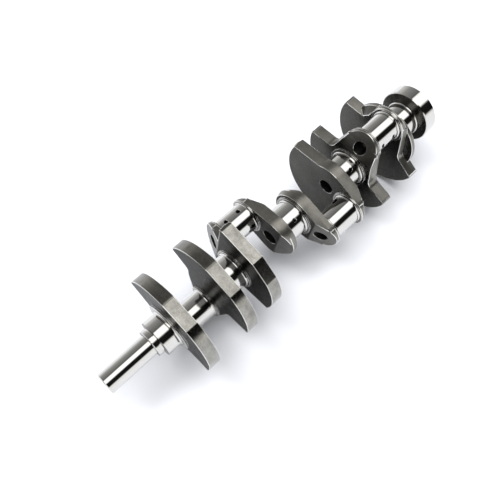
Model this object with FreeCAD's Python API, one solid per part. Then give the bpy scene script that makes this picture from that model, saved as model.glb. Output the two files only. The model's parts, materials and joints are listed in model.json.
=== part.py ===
import FreeCAD, Part
import os
import math

# One-piece V8 crankshaft: five main journals, four crankpins a quarter turn apart,
# eight webs, six of them with counterweights, a plain nose and a round rear flange.
# Frame: the main axis lies along X, front (nose) at -X, rear flange at +X, +Z up,
# origin on the axis in the middle of main journal 3.  Everything is in millimetres.

# ---------------------------------------------------------------- driving sizes
BORE_PITCH = 123.0          # spacing of the main bearings
THROW = 46.5                # main axis to pin axis, half of the 93 mm stroke
MAIN_R = 28.0
PIN_R = 23.0
MAIN_HALF = 16.5            # half the gap between the webs at a main journal
PIN_HALF = 26.0             # half the gap between the webs at a crankpin
WEB_T = 19.0
ROLL = 11.0                 # how far the shaft lies turned about its own axis, degrees
PIN_ANGLE = {1: -90.0, 2: 0.0, 3: 180.0, 4: 90.0}

COLLAR_H = 2.2              # raised thrust ring around every journal
RING_W = 5.0                # how much wider the ring is than its journal
JOURNAL_FLARE = 2.6         # rolled fillet at the journal ends

NOSE_X = -341.0
GEAR_SEAT_X = -264.5
SEAT_GROOVE_X = -258.0
MAIN1_FRONT_X = -254.5
NOSE_R = 16.0
GEAR_SEAT_R = 21.3
GROOVE_R = 20.0
NOSE_THREAD_R = 7.0
NOSE_THREAD_DEPTH = 45.0
KEYWAY_LENGTH = 26.0
KEYWAY_WIDTH = 4.8
KEYWAY_DEPTH = 3.0
KEYWAY_X = -284.0           # middle of the keyway under the nose

MAIN5_REAR_X = 273.0
FLANGE_X = 277.0
REAR_X = 300.0
FLANGE_R = 44.2
FLANGE_RING_R = 31.7
BOLT_CIRCLE_R = 32.0
BOLT_R = 5.0
BOLT_COUNT = 6
BOLT_DEPTH = 17.0
PILOT_R = 16.0
PILOT_DEPTH = 14.0
DOWEL_R = 4.0
DOWEL_CIRCLE_R = 37.5
DOWEL_ANGLE = 300.0         # between two bolt holes
DOWEL_LENGTH = 16.0
DOWEL_PROUD = 6.0

MAIN_BORE_R = 12.4          # lightening bores through main journals 3 and 4
BORED_MAINS = (3, 4)
BORED_WEBS = (4, 5, 6, 7)
PIN_BORE_R = 10.5           # lightening bores through the four crankpins
PIN_BORE_SHIFT = 3.0        # the pin bores sit a little outward of the pin axis
OIL_R = 3.1
OIL_DEPTH = 8.0
OIL_SINK = 0.5
PIN_OIL_X = 12.0
PIN_OIL_ANGLE = 69.0
MAIN_OIL_ANGLE = {1: 292.0, 2: 292.0, 3: 112.0, 4: 112.0, 5: 292.0}

HUB_R = 40.5                # round body of the web about the main axis
BOSS_R = 28.6               # round end of the web about the pin
PLAIN_HUB_R = 37.5          # the two plain webs are slimmer
PLAIN_BOSS_R = 27.2
PLAIN_WEBS = (4, 5)
BEVEL_START = 36.0          # where the sloped end face of a web starts
BEVEL_ANGLE = 22.0
TAIL_BEVEL_START = 15.0     # the two plain webs are sloped at their main end too
ROOT_FILLET = 13.0
TIP_FILLET = 4.0

# Counterweights.  u runs from the main axis towards the pin, v a quarter turn on.
# tip_v+ / tip_v-: height u of the two horn tips; root_v+ / root_v-: height u where the
# horns meet the arm; flats: (direction of the flat from u, distance from the axis).
HORNED = {
    1: dict(radius=79.5, tips=(-19.0, 19.0), roots=(8.0, 21.0), flats=[(188.0, 76.7)]),
    2: dict(radius=79.5, tips=(-31.0, -1.0), roots=(-5.0, 7.0), flats=[(191.0, 76.3)]),
    7: dict(radius=80.0, tips=(-11.0, 4.0), roots=(1.0, 10.0), flats=[]),
    8: dict(radius=79.0, tips=(-18.0, 18.0), roots=(6.0, 22.0), flats=[]),
}
# The two middle counterweights reach round one side of the pin only.
SIDED = {
    3: dict(radius=74.5, start=62.0, end=200.0, flats=[(96.0, 72.4), (123.5, 72.4)]),
    6: dict(radius=77.5, start=62.0, end=198.0, flats=[]),
}
REAR_DISC_R = 57.0          # oil-throwing disc on the back of the last web
REAR_DISC_T = 7.0
DISC_SHOULDER_R = 46.0      # the disc swells out of the web on the side of the lower horn root


# ---------------------------------------------------------------- small helpers
def vec(x, y, z):
    return FreeCAD.Vector(x, y, z)


def rod(x0, x1, radius, y=0.0, z=0.0):
    """Solid cylinder along X."""
    return Part.makeCylinder(radius, x1 - x0, vec(x0, y, z), vec(1, 0, 0))


def turned(shape, degrees):
    """The shape turned about the main axis, from +Y towards +Z."""
    copy = shape.copy()
    copy.rotate(vec(0, 0, 0), vec(1, 0, 0), degrees)
    return copy


def lathe(points, y=0.0, z=0.0):
    """Solid of revolution about an axis along X from (x, radius) points."""
    outline = [vec(x, y, z + r) for x, r in points]
    face = Part.Face(Part.makePolygon(outline + [outline[0]]))
    return face.revolve(vec(0, y, z), vec(1, 0, 0), 360)


def prism(points, x0, thickness):
    """Straight-sided plate from (u, v) points, standing across the shaft."""
    outline = [vec(x0, u, v) for u, v in points]
    face = Part.Face(Part.makePolygon(outline + [outline[0]]))
    return face.extrude(vec(thickness, 0, 0))


def polar(radius, degrees):
    a = math.radians(degrees)
    return radius * math.cos(a), radius * math.sin(a)


def main_x(i):
    return (i - 3) * BORE_PITCH


def pin_x(j):
    return (j - 2.5) * BORE_PITCH


def web_span(k):
    """Front and rear face of web k; odd webs have the main journal in front."""
    pin = (k + 1) // 2
    if k % 2:
        return pin_x(pin) - PIN_HALF - WEB_T, pin_x(pin) - PIN_HALF
    return pin_x(pin) + PIN_HALF, pin_x(pin) + PIN_HALF + WEB_T


# ---------------------------------------------------------------- journals
def journal(x0, x1, radius, y=0.0):
    """Ground journal with a hollow fillet at each end, about the axis (y, 0)."""
    f = JOURNAL_FLARE
    c = f * (1 - math.sqrt(0.5))
    top = [
        Part.makeLine(vec(x0, y, 0), vec(x0, y, radius + f)),
        Part.Arc(vec(x0, y, radius + f), vec(x0 + c, y, radius + c), vec(x0 + f, y, radius)).toShape(),
        Part.makeLine(vec(x0 + f, y, radius), vec(x1 - f, y, radius)),
        Part.Arc(vec(x1 - f, y, radius), vec(x1 - c, y, radius + c), vec(x1, y, radius + f)).toShape(),
        Part.makeLine(vec(x1, y, radius + f), vec(x1, y, 0)),
        Part.makeLine(vec(x1, y, 0), vec(x0, y, 0)),
    ]
    return Part.Face(Part.Wire(top)).revolve(vec(0, y, 0), vec(1, 0, 0), 360)


def oil_hole(x, radius, degrees, y=0.0):
    """Blind oil drilling with a countersunk mouth, square to a journal surface."""
    c, s = polar(1.0, degrees)
    out = vec(0, c, s)
    foot = vec(x, y, 0) + out * (radius - OIL_DEPTH)
    drill = Part.makeCylinder(OIL_R, OIL_DEPTH + 2, foot, out)
    sink = Part.makeCone(OIL_R, OIL_R + 2 * OIL_SINK, 2 * OIL_SINK,
                         vec(x, y, 0) + out * (radius - OIL_SINK), out)
    return drill.fuse(sink)


def make_main(i):
    x0 = main_x(i) - MAIN_HALF + COLLAR_H
    x1 = main_x(i) + MAIN_HALF - COLLAR_H
    if i == 1:
        x0 = MAIN1_FRONT_X
    if i == 5:
        x1 = MAIN5_REAR_X
    shape = journal(x0, x1, MAIN_R)
    if i == 1:
        shape = rod(x0, x0 + 6, MAIN_R).fuse(shape.common(rod(x0 + 6, x1, 90))).removeSplitter()
    shape = shape.cut(oil_hole(main_x(i), MAIN_R, MAIN_OIL_ANGLE[i]))
    if i in BORED_MAINS:
        shape = shape.cut(rod(x0 - 1, x1 + 1, MAIN_BORE_R))
    return turned(shape, ROLL)


def make_pin(j):
    x0 = pin_x(j) - PIN_HALF + COLLAR_H
    x1 = pin_x(j) + PIN_HALF - COLLAR_H
    shape = journal(x0, x1, PIN_R, THROW)
    for side in (-1, 1):
        shape = shape.cut(oil_hole(pin_x(j) + side * PIN_OIL_X, PIN_R, PIN_OIL_ANGLE, THROW))
    shape = shape.cut(rod(x0 - 1, x1 + 1, PIN_BORE_R, THROW + PIN_BORE_SHIFT))
    return turned(shape, PIN_ANGLE[j] + ROLL)


# ---------------------------------------------------------------- webs
def arm(x0, hub_r, boss_r):
    """Hub about the main axis and boss about the pin, joined by tangent sides."""
    a = math.degrees(math.acos((hub_r - boss_r) / THROW))
    hub_p = polar(hub_r, a)
    boss_p = polar(boss_r, a)
    sides = [hub_p, (THROW + boss_p[0], boss_p[1]), (THROW + boss_p[0], -boss_p[1]),
             (hub_p[0], -hub_p[1])]
    body = prism(sides, x0, WEB_T)
    body = body.fuse(rod(x0, x0 + WEB_T, hub_r))
    return body.fuse(rod(x0, x0 + WEB_T, boss_r, THROW))


def soften(shape, spots, radius):
    """Round the edges along X that pass near the given (u, v) spots."""
    chosen = []
    for edge in shape.Edges:
        box = edge.BoundBox
        if box.YLength > 0.01 or box.ZLength > 0.01 or box.XLength < 1.0:
            continue
        for u, v in spots:
            if math.hypot(box.Center.y - u, box.Center.z - v) < 6.0:
                chosen.append(edge)
                break
    return shape.makeFillet(radius, chosen) if chosen else shape


def trim_flats(shape, x0, flats):
    """Cut the machined flats into the rim."""
    for direction, distance in flats:
        block = Part.makeBox(WEB_T + 2, 60, 160, vec(x0 - 1, distance, -80))
        shape = shape.cut(turned(block, direction))
    return shape


def horned_plate(x0, radius, tips, roots, flats):
    """Half-round counterweight plate with two horns, opposite the pin."""
    plate = rod(x0, x0 + WEB_T, radius)
    side = HUB_R * 0.72
    reach = radius + 20
    slope_p = (tips[0] - roots[0]) / (radius - side)
    slope_m = (tips[1] - roots[1]) / (radius - side)
    far_p = roots[0] + slope_p * (reach - side)
    far_m = roots[1] + slope_m * (reach - side)
    keep = [(far_p, reach), (roots[0], side), (roots[1], -side), (far_m, -reach),
            (-reach, -reach), (-reach, reach)]
    plate = plate.common(prism(keep, x0, WEB_T))
    plate = trim_flats(plate, x0, flats)
    corner = [(tips[0], math.sqrt(radius ** 2 - tips[0] ** 2)),
              (tips[1], -math.sqrt(radius ** 2 - tips[1] ** 2))]
    return soften(plate, corner, TIP_FILLET)


def sided_plate(x0, radius, start, end, flats):
    """Counterweight plate that wraps one side of the shaft only."""
    tip_a = polar(radius + 8, start)
    tip_b = polar(radius, end)
    out_b = polar(radius + 30, end)
    reach = radius + 30
    keep = [(tip_a[0], 0), (tip_a[0], reach), (-reach, reach), (-reach, out_b[1]),
            (tip_b[0], tip_b[1]), (-22, -33), (8, -33.5), (tip_a[0], -28)]
    plate = rod(x0, x0 + WEB_T, radius + 9)
    rim = rod(x0 - 1, x0 + WEB_T + 1, radius)
    top = prism([(-20, 0), (-20, reach), (reach, reach), (reach, 0)], x0, WEB_T)
    plate = plate.common(rim.fuse(top)).common(prism(keep, x0, WEB_T))
    plate = trim_flats(plate, x0, flats)
    return plate.removeSplitter()


def end_bevel(x_face, into, start):
    """Wedge that slopes a web end away from one face; into is +1 or -1 along X."""
    reach = 90.0
    depth = (reach - start) * math.tan(math.radians(BEVEL_ANGLE))
    points = [vec(x_face, start, -70), vec(x_face, reach, -70),
              vec(x_face + into * depth, reach, -70)]
    lift = vec(-into * 4.0, 0, 0)
    points = [points[0], points[0] + lift, points[1] + lift, points[2]]
    face = Part.Face(Part.makePolygon(points + [points[0]]))
    return face.extrude(vec(0, 0, 140))


def make_web(k):
    x0, x1 = web_span(k)
    main_face, pin_face = (x0, x1) if k % 2 else (x1, x0)
    to_pin = 1 if k % 2 else -1
    plain = k in PLAIN_WEBS
    body = arm(x0, PLAIN_HUB_R if plain else HUB_R, PLAIN_BOSS_R if plain else BOSS_R)
    if k in HORNED:
        body = body.fuse(horned_plate(x0, **HORNED[k])).removeSplitter()
        body = round_roots(body)
    elif k in SIDED:
        body = body.fuse(sided_plate(x0, **SIDED[k])).removeSplitter()
    else:
        body = body.removeSplitter()
    body = body.cut(end_bevel(main_face, to_pin, BEVEL_START))
    if plain:
        body = body.cut(turned(end_bevel(pin_face, -to_pin, TAIL_BEVEL_START), 180))
    return add_rings(body, k, main_face, pin_face, to_pin)


def round_roots(body):
    """Round the two hollow corners where the horns grow out of the arm."""
    chosen = []
    for edge in body.Edges:
        box = edge.BoundBox
        if box.YLength > 0.01 or box.ZLength > 0.01 or box.XLength < 1.0:
            continue
        spread = math.hypot(box.Center.y, box.Center.z)
        if 25.0 < spread < 56.0 and 26.0 < abs(box.Center.z) < 44.0:
            chosen.append(edge)
    return body.makeFillet(ROOT_FILLET, chosen)


def add_rings(body, k, main_face, pin_face, to_pin):
    """Thrust rings on both faces, then the lightening bores."""
    main_ring = sorted([main_face, main_face - to_pin * COLLAR_H])
    pin_ring = sorted([pin_face, pin_face + to_pin * COLLAR_H])
    ring_r = HUB_R - 2.0 if k == 1 else MAIN_R + RING_W
    body = body.fuse(rod(main_ring[0], main_ring[1], ring_r))
    body = body.fuse(rod(pin_ring[0], pin_ring[1], PIN_R + RING_W, THROW))
    if k == 8:
        body = body.fuse(rod(main_face - REAR_DISC_T, main_face, REAR_DISC_R))
        body = body.fuse(disc_shoulder(min(main_face, pin_face), main_face - REAR_DISC_T))
    x0 = min(main_face, pin_face) - COLLAR_H - 1
    x1 = max(main_face, pin_face) + COLLAR_H + 1
    if k in BORED_WEBS:
        body = body.cut(rod(x0, x1, MAIN_BORE_R))
    body = body.cut(rod(x0, x1, PIN_BORE_R, THROW + PIN_BORE_SHIFT))
    pin = (k + 1) // 2
    return turned(body.removeSplitter(), PIN_ANGLE[pin] + ROLL)


def disc_shoulder(x0, x1):
    """Sloping shoulder from the web face up to the rear disc, on one side of the arm only."""
    cone = Part.makeCone(DISC_SHOULDER_R, REAR_DISC_R, x1 - x0, vec(x0, 0, 0), vec(1, 0, 0))
    side = Part.makeBox(x1 - x0, REAR_DISC_R, REAR_DISC_R, vec(x0, 0, -REAR_DISC_R))
    return cone.common(side)


# ---------------------------------------------------------------- nose and flange
def make_nose():
    shape = lathe([(NOSE_X, 0), (NOSE_X, NOSE_R - 1.2), (NOSE_X + 1.2, NOSE_R),
                   (GEAR_SEAT_X, NOSE_R), (GEAR_SEAT_X, 0)])
    shape = shape.cut(rod(NOSE_X - 1, NOSE_X + NOSE_THREAD_DEPTH, NOSE_THREAD_R))
    corner = vec(KEYWAY_X - KEYWAY_LENGTH / 2, -KEYWAY_WIDTH / 2, -NOSE_R - 2)
    keyway = Part.makeBox(KEYWAY_LENGTH, KEYWAY_WIDTH, KEYWAY_DEPTH + 2, corner)
    return turned(shape.cut(keyway), ROLL)


def make_gear_seat():
    shape = lathe([(GEAR_SEAT_X, 0), (GEAR_SEAT_X, GEAR_SEAT_R - 0.8), (GEAR_SEAT_X + 0.8, GEAR_SEAT_R),
                   (SEAT_GROOVE_X, GEAR_SEAT_R), (SEAT_GROOVE_X, GROOVE_R),
                   (MAIN1_FRONT_X, GROOVE_R), (MAIN1_FRONT_X, 0)])
    return turned(shape, ROLL)


def make_flange():
    shape = lathe([(MAIN5_REAR_X, 0), (MAIN5_REAR_X, FLANGE_RING_R), (FLANGE_X, FLANGE_RING_R),
                   (FLANGE_X, FLANGE_R - 1.2), (FLANGE_X + 1.2, FLANGE_R), (REAR_X - 1.2, FLANGE_R),
                   (REAR_X, FLANGE_R - 1.2), (REAR_X, 0)])
    shape = shape.cut(rod(REAR_X - PILOT_DEPTH, REAR_X + 1, PILOT_R))
    for i in range(BOLT_COUNT):
        y, z = polar(BOLT_CIRCLE_R, 30 + 360.0 * i / BOLT_COUNT)
        shape = shape.cut(rod(REAR_X - BOLT_DEPTH, REAR_X + 1, BOLT_R, y, z))
    y, z = polar(DOWEL_CIRCLE_R, DOWEL_ANGLE)
    shape = shape.cut(rod(REAR_X + DOWEL_PROUD - DOWEL_LENGTH, REAR_X + 1, DOWEL_R, y, z))
    return turned(shape, ROLL)


def make_dowel():
    x0 = REAR_X + DOWEL_PROUD - DOWEL_LENGTH
    x1 = REAR_X + DOWEL_PROUD
    y, z = polar(DOWEL_CIRCLE_R, DOWEL_ANGLE)
    shape = lathe([(x0, 0), (x0, DOWEL_R), (x1 - 1, DOWEL_R), (x1, DOWEL_R - 1), (x1, 0)], y, z)
    return turned(shape, ROLL)


# ---------------------------------------------------------------- everything
def build():
    nodes = {"nose": make_nose(), "gear_seat": make_gear_seat()}
    for i in range(1, 6):
        nodes["main_journal_%d" % i] = make_main(i)
    for j in range(1, 5):
        nodes["crankpin_%d" % j] = make_pin(j)
    for k in range(1, 9):
        kind = "plain_web" if k in PLAIN_WEBS else "counterweight"
        nodes["%s_%d" % (kind, k)] = make_web(k)
    nodes["rear_flange"] = make_flange()
    nodes["flange_dowel"] = make_dowel()
    return nodes


os.makedirs("parts", exist_ok=True)
for name, shape in build().items():
    solids = shape.Solids
    if len(solids) != 1 or not shape.isValid():
        print("CHECK", name, "solids", len(solids), "valid", shape.isValid())
    shape = solids[0]
    shape.exportStep("parts/%s.step" % name)
    print(name, "volume", round(shape.Volume), "x", round(shape.BoundBox.XMin, 1), round(shape.BoundBox.XMax, 1))
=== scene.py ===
import json
import math

import bmesh
import bpy
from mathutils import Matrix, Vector


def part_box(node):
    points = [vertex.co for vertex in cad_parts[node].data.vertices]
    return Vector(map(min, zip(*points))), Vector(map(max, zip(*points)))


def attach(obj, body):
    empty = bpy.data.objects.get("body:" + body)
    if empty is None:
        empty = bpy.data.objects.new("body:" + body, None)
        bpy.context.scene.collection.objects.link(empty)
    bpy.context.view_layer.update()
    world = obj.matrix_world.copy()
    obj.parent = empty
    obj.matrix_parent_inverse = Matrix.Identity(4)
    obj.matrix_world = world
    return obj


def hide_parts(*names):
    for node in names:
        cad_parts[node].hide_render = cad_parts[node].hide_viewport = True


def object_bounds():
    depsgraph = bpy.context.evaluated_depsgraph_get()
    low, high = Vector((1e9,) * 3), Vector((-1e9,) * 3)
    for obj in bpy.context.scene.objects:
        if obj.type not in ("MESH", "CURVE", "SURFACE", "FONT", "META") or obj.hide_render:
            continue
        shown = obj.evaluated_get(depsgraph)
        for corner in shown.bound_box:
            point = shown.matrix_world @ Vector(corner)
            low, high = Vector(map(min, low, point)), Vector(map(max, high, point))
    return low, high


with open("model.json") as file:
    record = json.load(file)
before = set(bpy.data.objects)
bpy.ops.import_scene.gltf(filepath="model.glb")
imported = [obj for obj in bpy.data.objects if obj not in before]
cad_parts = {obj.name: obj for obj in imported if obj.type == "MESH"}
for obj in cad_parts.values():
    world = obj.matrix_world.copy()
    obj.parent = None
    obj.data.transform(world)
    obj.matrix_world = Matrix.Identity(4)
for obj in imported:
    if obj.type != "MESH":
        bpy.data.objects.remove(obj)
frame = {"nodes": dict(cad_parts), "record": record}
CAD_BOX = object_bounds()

NODES = frame["nodes"]
MOUNTS = {mount["name"]: mount for mount in frame["record"]["mounts"]}

# ---------------------------------------------------------------- sizes of the webs
RING_HEIGHT = 0.0022        # thrust ring that stands on each face of a web
MAIN_BORE_R = 0.0124
PIN_BORE_R = 0.0105
PIN_BORE_SHIFT = 0.003      # the pin bore lies a little outward of the pin axis
RIM_DEPTH = 0.0036          # how far below its largest radius a web still counts as rim
PLAIN_WEBS = (4, 5)         # webs without a counterweight, forged all round
RIDGE_HEIGHT = 0.0020       # forging ridge half way through the thickness
EDGE_WIDTH = 0.0007         # softened outer edges
FINE_EDGE = 0.35            # share of that on thrust rings and bores
EDGE_STEPS = 3
PAINTED_SHADE_START = -0.1       # painted shade: the rims are darker from about level on the +Y side, in radians,
PAINTED_SHADE_END = math.radians(95)   # up to here
WELD = 0.00012              # corners closer than this become one
SURFACE_DEPTH = 0.0004      # deeper than this under a journal surface is inside a drilling
SHARP_ANGLE = math.radians(32)
FLAT_ANGLE = math.radians(0.6)    # faces this close to one plane become one
END_TILT = 0.6              # a web's face looks along the shaft once its normal leans this far
SQUARE_TILT = 0.98          # and is square to it from here on
JOURNAL_END_TILT = 0.9      # the same for the end faces of journals, nose and flange
LEVEL_GAP = 0.0001          # how near to a plane across the shaft counts as lying in it
BORE_GAP = 0.0006           # how far outside a bore's radius still counts as its wall
AWAY_FROM_PIN = 0.01        # the rim's radius is read on the side away from the crankpin
FORGED_SHARE = 0.4          # corners with more forged faces than this carry the ridge
OUTER_SHARE = 0.6           # rings of corners smaller than this share of the largest are inner ones

# ---------------------------------------------------------------- camera and light
CAMERA_PLACE = Vector((-0.3374, -0.2897, 0.754))
CAMERA_TARGET = Vector((-0.0703, 0.0053, 0.0))
CAMERA_ROLL = math.radians(-3.06)
CAMERA_LENS = 42.55
SUN_DIRECTION = Vector((0.22, -0.40, -0.88))
SUN_STRENGTH = 1.3
SUN_SPREAD = math.radians(24)
FILL_DIRECTION = Vector((0.05, 0.0, -1.0))
FILL_STRENGTH = 3.0
FILL_SPREAD = math.radians(60)
FLOOR_TONE = (0.60, 0.61, 0.64)
FLOOR_SIZE = 24.0

# What stands round the shaft, as brightness against the angle about the X axis: 0 is level on the
# +Y side, 90 overhead, 180 level on the -Y side.  A strip softbox hangs overhead beside a black flag.
STUDIO = [(-60, 0.85), (0, 0.80), (12, 0.72), (32, 0.36), (52, 0.26), (70, 0.19), (76, 0.10),
          (79.5, 1.25), (84, 1.70), (110, 1.70), (116, 0.60), (119.5, 0.012), (154, 0.008),
          (158, 0.50), (163, 1.10), (171, 1.25), (184, 0.95), (240, 0.85)]
TINT = (1.0, 1.0, 0.995)
STRIP_MIDDLE = 97           # past this angle the pattern moves on towards the rear of the shaft,
STRIP_WIDENING = 10         # by this many degrees,
WIDENING_REACH = 0.3        # once a ray leans this far along X


# ---------------------------------------------------------------- materials
NOISE_LOW = 0.3             # the middle of the noise, which the tones and the gloss are spread over
NOISE_HIGH = 0.7
GRAIN_SHARE = 0.35          # share of the fine grain in the tone
GLOSS_SHARE = 0.5           # and in the gloss
GLOSS_STRETCH = 2.3         # gloss changes over shorter lengths than tone


def new_material(name):
    material = bpy.data.materials.new(name)
    material.use_nodes = True
    return material, material.node_tree, material.node_tree.nodes["Principled BSDF"]


def noise(tree, stretch, detail):
    """Noise in object space; stretch is how many waves per metre along X, Y and Z."""
    place = tree.nodes.new("ShaderNodeTexCoord")
    scale = tree.nodes.new("ShaderNodeMapping")
    scale.inputs["Scale"].default_value = stretch
    pattern = tree.nodes.new("ShaderNodeTexNoise")
    pattern.inputs["Scale"].default_value = 1.0
    pattern.inputs["Detail"].default_value = detail
    pattern.inputs["Roughness"].default_value = 0.6
    tree.links.new(place.outputs["Object"], scale.inputs["Vector"])
    tree.links.new(scale.outputs["Vector"], pattern.inputs["Vector"])
    return pattern.outputs["Fac"]


def spread(tree, source, low, high):
    """The middle of the noise stretched over low to high."""
    ramp = tree.nodes.new("ShaderNodeMapRange")
    ramp.inputs["From Min"].default_value = NOISE_LOW
    ramp.inputs["From Max"].default_value = NOISE_HIGH
    ramp.inputs["To Min"].default_value = low
    ramp.inputs["To Max"].default_value = high
    tree.links.new(source, ramp.inputs["Value"])
    return ramp.outputs["Result"]


def blend_colours(tree, source, dark, light):
    ramp = tree.nodes.new("ShaderNodeValToRGB")
    ramp.color_ramp.elements[0].position = NOISE_LOW
    ramp.color_ramp.elements[0].color = (*dark, 1)
    ramp.color_ramp.elements[1].position = NOISE_HIGH
    ramp.color_ramp.elements[1].color = (*light, 1)
    tree.links.new(source, ramp.inputs["Fac"])
    return ramp.outputs["Color"]


def average(tree, a, b, share):
    mix = tree.nodes.new("ShaderNodeMix")
    mix.inputs["Factor"].default_value = share
    tree.links.new(a, mix.inputs["A"])
    tree.links.new(b, mix.inputs["B"])
    return mix.outputs["Result"]


def metal(name, dark, light, roughness, clouds, grain, bump, depth, glance=1.0):
    """Steel with cloudy tone, uneven gloss and a fine grain that also dents the surface; glance is
    how much of its sheen it keeps when looked at along the surface."""
    material, tree, shader = new_material(name)
    cloud = noise(tree, clouds, 4)
    fine = noise(tree, grain, 3)
    tone = average(tree, cloud, fine, GRAIN_SHARE)
    tree.links.new(blend_colours(tree, tone, dark, light), shader.inputs["Base Color"])
    gloss = average(tree, noise(tree, [c * GLOSS_STRETCH for c in clouds], 3), fine, GLOSS_SHARE)
    tree.links.new(spread(tree, gloss, *roughness), shader.inputs["Roughness"])
    relief = tree.nodes.new("ShaderNodeBump")
    relief.inputs["Strength"].default_value = bump
    relief.inputs["Distance"].default_value = depth
    tree.links.new(fine, relief.inputs["Height"])
    tree.links.new(relief.outputs["Normal"], shader.inputs["Normal"])
    shader.inputs["Metallic"].default_value = 1.0
    shader.inputs["Specular Tint"].default_value = (glance, glance, glance, 1)
    return material


def make_materials():
    """One finish per kind of surface."""
    return {
        "polished": metal("polished_journal", (0.61, 0.60, 0.575), (0.68, 0.67, 0.645), (0.045, 0.10),
                          (30, 12, 12), (2600, 30, 30), 0.10, 0.00004),
        "ground": metal("ground_rim", (0.18, 0.174, 0.156), (0.40, 0.392, 0.358), (0.10, 0.18),
                        (90, 60, 60), (450, 450, 450), 0.14, 0.00012),
        # darker copy of the ground rim: painted shade on rim faces turned up and towards +Y
        "painted_shade_rim": metal("rim_with_painted_shade", (0.11, 0.105, 0.092), (0.25, 0.24, 0.215), (0.18, 0.28),
                        (90, 60, 60), (450, 450, 450), 0.30, 0.00012),
        "forged": metal("forged_side", (0.17, 0.165, 0.145), (0.30, 0.29, 0.262), (0.30, 0.42),
                        (55, 40, 40), (520, 520, 520), 0.40, 0.00022),
        "peened": metal("peened_face", (0.072, 0.071, 0.066), (0.115, 0.113, 0.106), (0.23, 0.33),
                        (26, 22, 22), (1100, 1100, 1100), 0.30, 0.00012, 0.48),
        # bright finish for the rounded edges: painted highlight
        "edge": metal("painted_highlight_edge", (0.68, 0.67, 0.64), (0.88, 0.87, 0.84), (0.16, 0.26),
                      (80, 60, 60), (800, 800, 800), 0.15, 0.00008),
        "slope": metal("sloped_end", (0.09, 0.088, 0.080), (0.17, 0.166, 0.152), (0.28, 0.40),
                       (60, 60, 60), (700, 700, 700), 0.35, 0.00014),
        "ring": metal("thrust_ring", (0.34, 0.33, 0.31), (0.46, 0.45, 0.43), (0.14, 0.24),
                      (70, 40, 40), (1500, 500, 500), 0.2, 0.00006),
        # near-black finish inside bores and drillings: painted shade
        "bore": metal("bore_with_painted_shade", (0.045, 0.044, 0.041), (0.11, 0.108, 0.10), (0.34, 0.5),
                      (60, 60, 60), (1800, 60, 60), 0.35, 0.00015),
        "turned": metal("turned_face", (0.060, 0.058, 0.052), (0.115, 0.112, 0.104), (0.24, 0.34),
                        (45, 45, 45), (700, 700, 700), 0.25, 0.00010),
        "hardened": metal("hardened_pin", (0.30, 0.29, 0.27), (0.42, 0.41, 0.39), (0.18, 0.28),
                          (90, 90, 90), (1500, 200, 200), 0.2, 0.00008),
    }


# ---------------------------------------------------------------- webs
def pin_direction(web):
    """Unit vector across the shaft from the main axis to the web's crankpin, and the throw."""
    place = MOUNTS["rod_bearing_%d" % ((web + 1) // 2)]["pos_m"]
    across = Vector((0.0, place[1], place[2]))
    return across.normalized(), across.length


def axis_distance(point, centre):
    return math.hypot(point.y - centre.y, point.z - centre.z)


def surface_kind(centre, normal, web):
    """Which finish a face of a web gets, from where it lies and which way it looks."""
    low, high, rim_r, bore = web["low"], web["high"], web["rim_r"], web["bore"]
    on_ring = centre.x < low + LEVEL_GAP or centre.x > high - LEVEL_GAP
    if abs(normal.x) > END_TILT:
        if abs(normal.x) < SQUARE_TILT:
            return "slope"
        return "ring" if on_ring else "peened"
    if axis_distance(centre, bore) < PIN_BORE_R + BORE_GAP:
        return "bore"
    radius = axis_distance(centre, Vector((0, 0, 0)))
    if radius < MAIN_BORE_R + BORE_GAP:
        return "bore"
    if centre.x < low + RING_HEIGHT - LEVEL_GAP or centre.x > high - RING_HEIGHT + LEVEL_GAP:
        return "ring"
    if web["plain"] or radius < rim_r - RIM_DEPTH:
        return "forged"
    # rim faces turned between these angles take the darker copy, painted shade
    return "painted_shade_rim" if PAINTED_SHADE_START < math.atan2(normal.z, normal.y) < PAINTED_SHADE_END else "ground"


WEB_FINISHES = ["peened", "ground", "painted_shade_rim", "forged", "ring", "bore", "edge", "slope"]


def raise_ridge(bm, web):
    """A faint ridge along the forged sides, where the two halves of the forging die met."""
    middle = (web["low"] + web["high"]) / 2
    geometry = bm.verts[:] + bm.edges[:] + bm.faces[:]
    bmesh.ops.bisect_plane(bm, geom=geometry, dist=1e-6, plane_co=(middle, 0, 0), plane_no=(1, 0, 0))
    bm.normal_update()
    moves = []
    for vert in bm.verts:
        if abs(vert.co.x - middle) > 1e-5:
            continue
        kinds = [surface_kind(face.calc_center_median(), face.normal, web) for face in vert.link_faces]
        forged = kinds.count("forged") / max(1, len(kinds))
        if forged > FORGED_SHARE and "bore" not in kinds:
            moves.append((vert, vert.normal * RIDGE_HEIGHT * forged))
    for vert, move in moves:
        vert.co += move


def weigh_edges(bm):
    """Outer edges get the full rounding, rings and bores a fine one, everything else none."""
    weight = bm.edges.layers.float.new("bevel_weight_edge")
    fine = {WEB_FINISHES.index("ring"), WEB_FINISHES.index("bore")}
    for edge in bm.edges:
        if edge.calc_face_angle(0) < SHARP_ANGLE:
            continue
        kinds = {face.material_index for face in edge.link_faces}
        edge[weight] = FINE_EDGE if kinds & fine else 1.0


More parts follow.
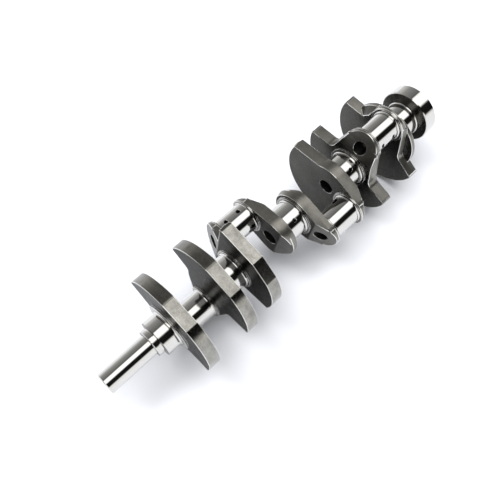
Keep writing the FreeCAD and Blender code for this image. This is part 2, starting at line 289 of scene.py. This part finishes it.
def make_web(node, finishes):
    """A web with rounded edges, its forging ridge and a finish on each kind of surface."""
    number = int(node.rsplit("_", 1)[1])
    lo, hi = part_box(node)
    direction, throw = pin_direction(number)
    bore = direction * (throw + PIN_BORE_SHIFT)
    source = NODES[node].data
    rim_r = max(math.hypot(v.co.y, v.co.z) for v in source.vertices if v.co.dot(direction) < AWAY_FROM_PIN)
    web = {"low": lo.x, "high": hi.x, "rim_r": rim_r, "bore": bore, "plain": number in PLAIN_WEBS}
    bm = bmesh.new()
    bm.from_mesh(source)
    bmesh.ops.remove_doubles(bm, verts=bm.verts, dist=WELD)
    bm.normal_update()
    sides = [edge for edge in bm.edges if all(abs(face.normal.x) < END_TILT for face in edge.link_faces)]
    bmesh.ops.dissolve_limit(bm, angle_limit=FLAT_ANGLE, verts=[], edges=sides)
    raise_ridge(bm, web)
    bm.normal_update()
    for face in bm.faces:
        face.material_index = WEB_FINISHES.index(surface_kind(face.calc_center_median(), face.normal, web))
        face.smooth = True
    weigh_edges(bm)
    mesh = bpy.data.meshes.new(node + "_forging")
    bm.to_mesh(mesh)
    bm.free()
    if "custom_normal" in mesh.attributes:
        mesh.attributes.remove(mesh.attributes["custom_normal"])
    mesh.set_sharp_from_angle(angle=SHARP_ANGLE)
    for finish in WEB_FINISHES:
        mesh.materials.append(finishes[finish])
    piece = bpy.data.objects.new(node + "_forging", mesh)
    bpy.context.scene.collection.objects.link(piece)
    edge = piece.modifiers.new("soft_edges", "BEVEL")
    edge.width = EDGE_WIDTH
    edge.segments = EDGE_STEPS
    edge.limit_method = "WEIGHT"
    edge.use_clamp_overlap = False
    edge.miter_outer = "MITER_SHARP"
    # the rounded edges take the bright edge finish, a painted highlight
    edge.material = WEB_FINISHES.index("edge")
    even = piece.modifiers.new("even_faces", "WEIGHTED_NORMAL")
    even.mode = "FACE_AREA"
    even.weight = 100
    even.keep_sharp = True
    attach(piece, "root")
    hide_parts(node)
    return piece


# ---------------------------------------------------------------- journals, nose and flange
TURNED_FINISHES = ["polished", "turned", "bore"]


def part_axis(node):
    """The axis that a turned part is ground about: its pin's own, or the main axis."""
    if node.startswith("crankpin"):
        place = MOUNTS["rod_bearing_" + node[-1]]["pos_m"]
        return Vector((0, place[1], place[2]))
    return Vector((0, 0, 0))


def make_turned(node, finishes):
    """A turned part with its end faces and drillings told apart from its ground surface."""
    mesh = NODES[node].data.copy()
    mesh.name = node + "_ground"
    mesh.materials.clear()
    for finish in TURNED_FINISHES:
        mesh.materials.append(finishes[finish])
    axis = part_axis(node)
    surface = surface_profile(mesh, axis)
    for face in mesh.polygons:
        if abs(face.normal.x) > JOURNAL_END_TILT:
            face.material_index = 1
        # drillings take the near-black bore finish, painted shade
        elif axis_distance(face.center, axis) < surface(face.center.x) - SURFACE_DEPTH:
            face.material_index = 2
        else:
            face.material_index = 0
    piece = bpy.data.objects.new(node + "_ground", mesh)
    bpy.context.scene.collection.objects.link(piece)
    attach(piece, "root")
    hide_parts(node)
    return piece


def surface_profile(mesh, axis):
    """Outer radius of a turned part at a place along X, read from its own corners."""
    rings = {}
    for vert in mesh.vertices:
        place = round(vert.co.x, 4)
        rings[place] = max(rings.get(place, 0), axis_distance(vert.co, axis))
    stations = sorted(place for place in rings if rings[place] > OUTER_SHARE * max(rings.values()))

    def radius(x):
        before = max([place for place in stations if place <= x], default=stations[0])
        after = min([place for place in stations if place >= x], default=stations[-1])
        return min(rings[before], rings[after])

    return radius


# ---------------------------------------------------------------- stage
def make_floor():
    bm = bmesh.new()
    bmesh.ops.create_grid(bm, x_segments=1, y_segments=1, size=FLOOR_SIZE / 2)
    mesh = bpy.data.meshes.new("studio_floor")
    bm.to_mesh(mesh)
    bm.free()
    floor = bpy.data.objects.new("studio_floor", mesh)
    floor.location = (0, 0, CAD_BOX[0][2])
    bpy.context.scene.collection.objects.link(floor)
    material, _, shader = new_material("white_floor")
    shader.inputs["Base Color"].default_value = (*FLOOR_TONE, 1)
    shader.inputs["Roughness"].default_value = 1.0
    shader.inputs["Specular IOR Level"].default_value = 0.0
    mesh.materials.append(material)


def make_world():
    """Long strip lights and flags round the shaft, as a pattern of the sky about the X axis."""
    world = bpy.data.worlds.new("studio")
    bpy.context.scene.world = world
    world.use_nodes = True
    tree = world.node_tree
    tree.nodes.clear()
    place = tree.nodes.new("ShaderNodeTexCoord")
    split = tree.nodes.new("ShaderNodeSeparateXYZ")
    turn = tree.nodes.new("ShaderNodeMath")
    turn.operation = "ARCTAN2"
    share = tree.nodes.new("ShaderNodeMath")
    share.operation = "MULTIPLY_ADD"
    share.inputs[1].default_value = 1 / (2 * math.pi)
    share.inputs[2].default_value = 0.25
    wrap = tree.nodes.new("ShaderNodeMath")
    wrap.operation = "FRACT"
    past = tree.nodes.new("ShaderNodeMath")
    past.operation = "GREATER_THAN"
    past.inputs[1].default_value = (STRIP_MIDDLE + 90) / 360
    widen = tree.nodes.new("ShaderNodeMapRange")
    widen.inputs["From Max"].default_value = WIDENING_REACH
    widen.inputs["To Max"].default_value = -STRIP_WIDENING / 360
    moved = tree.nodes.new("ShaderNodeMath")
    moved.operation = "MULTIPLY_ADD"
    ramp = tree.nodes.new("ShaderNodeValToRGB")
    elements = ramp.color_ramp.elements
    elements.remove(elements[-1])
    elements[0].position = 0.0
    for angle, bright in STUDIO:
        stop = elements.new((angle + 90) / 360)
        stop.color = (bright * TINT[0], bright * TINT[1], bright * TINT[2], 1)
    light = tree.nodes.new("ShaderNodeBackground")
    backdrop = tree.nodes.new("ShaderNodeBackground")
    backdrop.inputs["Color"].default_value = (1, 1, 1, 1)
    path = tree.nodes.new("ShaderNodeLightPath")
    choose = tree.nodes.new("ShaderNodeMixShader")
    out = tree.nodes.new("ShaderNodeOutputWorld")
    link = tree.links.new
    link(place.outputs["Generated"], split.inputs["Vector"])
    link(split.outputs["Z"], turn.inputs[0])
    link(split.outputs["Y"], turn.inputs[1])
    link(turn.outputs["Value"], share.inputs[0])
    link(share.outputs["Value"], wrap.inputs[0])
    link(wrap.outputs["Value"], past.inputs[0])
    link(split.outputs["X"], widen.inputs["Value"])
    link(past.outputs["Value"], moved.inputs[0])
    link(widen.outputs["Result"], moved.inputs[1])
    link(wrap.outputs["Value"], moved.inputs[2])
    link(moved.outputs["Value"], ramp.inputs["Fac"])
    link(ramp.outputs["Color"], light.inputs["Color"])
    link(path.outputs["Is Camera Ray"], choose.inputs["Fac"])
    link(light.outputs["Background"], choose.inputs[1])
    link(backdrop.outputs["Background"], choose.inputs[2])
    link(choose.outputs["Shader"], out.inputs["Surface"])


def make_sun(name, direction, strength, angle):
    """Soft light for the floor; it isn't mirrored by the steel."""
    light = bpy.data.lights.new(name, "SUN")
    light.energy = strength
    light.angle = angle
    sun = bpy.data.objects.new(name, light)
    sun.rotation_euler = direction.to_track_quat("-Z", "Y").to_euler()
    sun.visible_glossy = False
    bpy.context.scene.collection.objects.link(sun)


def make_camera():
    data = bpy.data.cameras.new("camera")
    data.lens = CAMERA_LENS
    data.sensor_width = 36
    camera = bpy.data.objects.new("camera", data)
    camera.location = CAMERA_PLACE
    camera.rotation_euler = (CAMERA_TARGET - CAMERA_PLACE).to_track_quat("-Z", "Y").to_euler()
    camera.rotation_euler.rotate_axis("Z", CAMERA_ROLL)
    bpy.context.scene.collection.objects.link(camera)
    bpy.context.scene.camera = camera


# ---------------------------------------------------------------- everything
make_camera()
finishes = make_materials()
for name in sorted(NODES):
    if name.startswith(("counterweight", "plain_web")):
        make_web(name, finishes)
    elif name == "flange_dowel":
        NODES[name].data.materials.clear()
        NODES[name].data.materials.append(finishes["hardened"])
    else:
        make_turned(name, finishes)
make_floor()
make_world()
make_sun("key_light", SUN_DIRECTION, SUN_STRENGTH, SUN_SPREAD)
make_sun("fill_light", FILL_DIRECTION, FILL_STRENGTH, FILL_SPREAD)
bpy.context.scene.view_settings.view_transform = "Standard"
bpy.context.view_layer.update()
